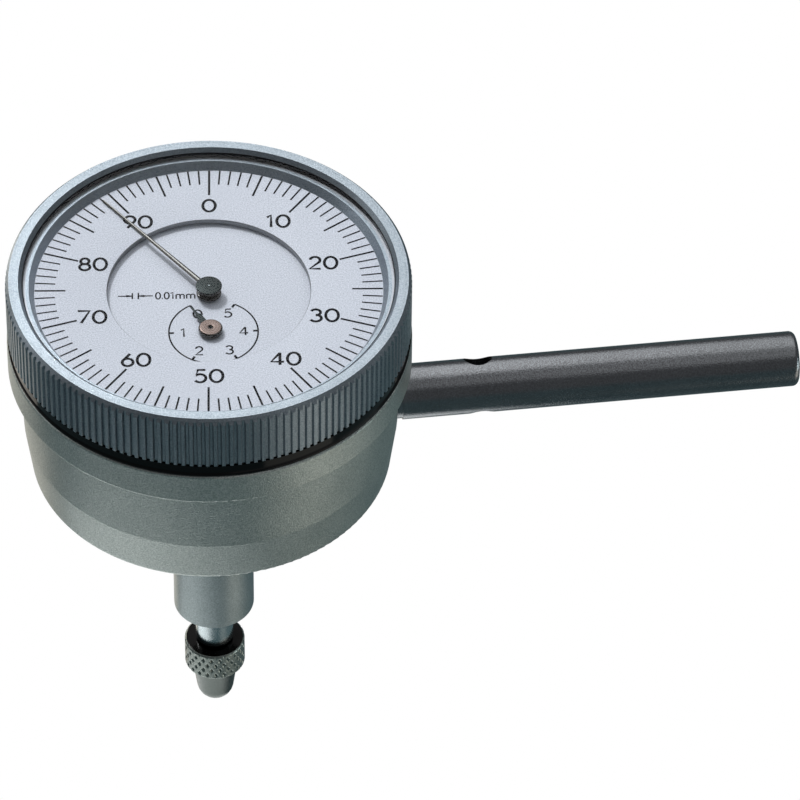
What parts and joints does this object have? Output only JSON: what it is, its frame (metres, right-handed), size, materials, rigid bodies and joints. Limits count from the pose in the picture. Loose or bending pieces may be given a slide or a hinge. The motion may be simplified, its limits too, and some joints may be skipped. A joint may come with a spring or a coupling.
{
  "type": "dial indicator",
  "caption": "Dial indicator with its plunger on the back, a knurled turning bezel, a turns counter and a round bar on the side for holding it.",
  "frame": {"origin": "on the plunger's axis, at the case's back face where the stem leaves it", "axes": "+Z along the plunger's axis, out of the dial; +Y towards twelve o'clock of the fixed centre dial; the holding bar points along +X, turned 4.4 degrees towards +Y"},
  "size_m": [0.1139, 0.0574, 0.0867],
  "materials": {
    "case_grey": "matte bead-blasted grey",
    "bezel_grey": "matte grey anodised, straight knurl",
    "seal_black": "glossy black",
    "gasket_black": "matte black",
    "bar_black": "black oxide, satin",
    "stem_steel": "satin ground",
    "steel": "bright ground",
    "contact_steel": "hardened, diamond knurled collar",
    "spring_steel": "bright spring wire",
    "brass": "fine turned",
    "bronze": "turned bearing bronze",
    "dial_silver": "matte silver white, black print",
    "pointer_dark": "dark satin",
    "hub_dark": "dark polished",
    "counter_bronze": "dark bronze",
    "crystal_clear": "clear"
  },
  "bodies": {
    "case_group": {"case": "case_grey", "stem": "stem_steel", "lower_bush": "bronze", "upper_bush": "bronze", "holding_bar": "bar_black", "seat_ring": "seal_black", "bezel_wire": "spring_steel", "base_plate": "brass", "pillars": "steel", "top_plate": "brass", "centre_dial": "dial_silver", "left_arbor_cock": "brass", "right_arbor_cock": "brass", "centre_cock": "brass", "counter_cock": "brass", "return_spring": "spring_steel", "hairspring": "spring_steel", "hairspring_stud": "steel", "base_screws": "steel", "top_plate_screws": "steel", "arbor_cock_screws": "steel"},
    "plunger": {"spindle": "steel", "spring_collar": "steel", "contact_point": "contact_steel", "rack_bar": "steel", "rack_pin": "steel", "guide_pin": "steel"},
    "crown_arbor": {"arbor": "steel", "rack_pinion": "steel", "crown_wheel": "brass"},
    "pointer_staff": {"centre_pinion": "steel", "pointer_hub": "hub_dark", "pointer": "pointer_dark"},
    "counter_arbor": {"counter_staff": "steel", "counter_gear": "brass", "hairspring_collet": "brass", "counter_hub": "counter_bronze", "counter_hand": "hub_dark"},
    "bezel_group": {"bezel": "bezel_grey", "dial_ring": "dial_silver", "dial_retainer": "spring_steel", "crystal_gasket": "gasket_black", "crystal": "crystal_clear"}
  },
  "joints": [
    {"name": "plunger_slide", "type": "slide", "parent": "case_group", "child": "plunger", "axis": [0, 0, 1], "range_m": [0, 0.0052], "stiffness_N_per_m": 60, "springref_m": -0.015, "deforming": ["return_spring"]},
    {"name": "arbor_turn", "type": "hinge", "parent": "case_group", "child": "crown_arbor", "pos_m": [0, 0, 0.0166], "axis": [1, 0, 0], "range_deg": [-313, 1]},
    {"name": "pointer_turn", "type": "hinge", "parent": "case_group", "child": "pointer_staff", "pos_m": [0, 0, 0.0316], "axis": [0, 0, 1], "range_deg": [-1873, 1]},
    {"name": "counter_turn", "type": "hinge", "parent": "case_group", "child": "counter_arbor", "pos_m": [0, -0.0075, 0.0316], "axis": [0, 0, 1], "range_deg": [-1, 313]},
    {"name": "bezel_turn", "type": "hinge", "parent": "case_group", "child": "bezel_group", "pos_m": [0, 0, 0.0316], "axis": [0, 0, 1], "continuous": true}
  ],
  "couplings": [
    {"joint": "arbor_turn", "follows": "plunger_slide", "rad_per_m": -1047.2},
    {"joint": "pointer_turn", "follows": "plunger_slide", "rad_per_m": -6283.2},
    {"joint": "counter_turn", "follows": "plunger_slide", "rad_per_m": 1047.2}
  ]
}
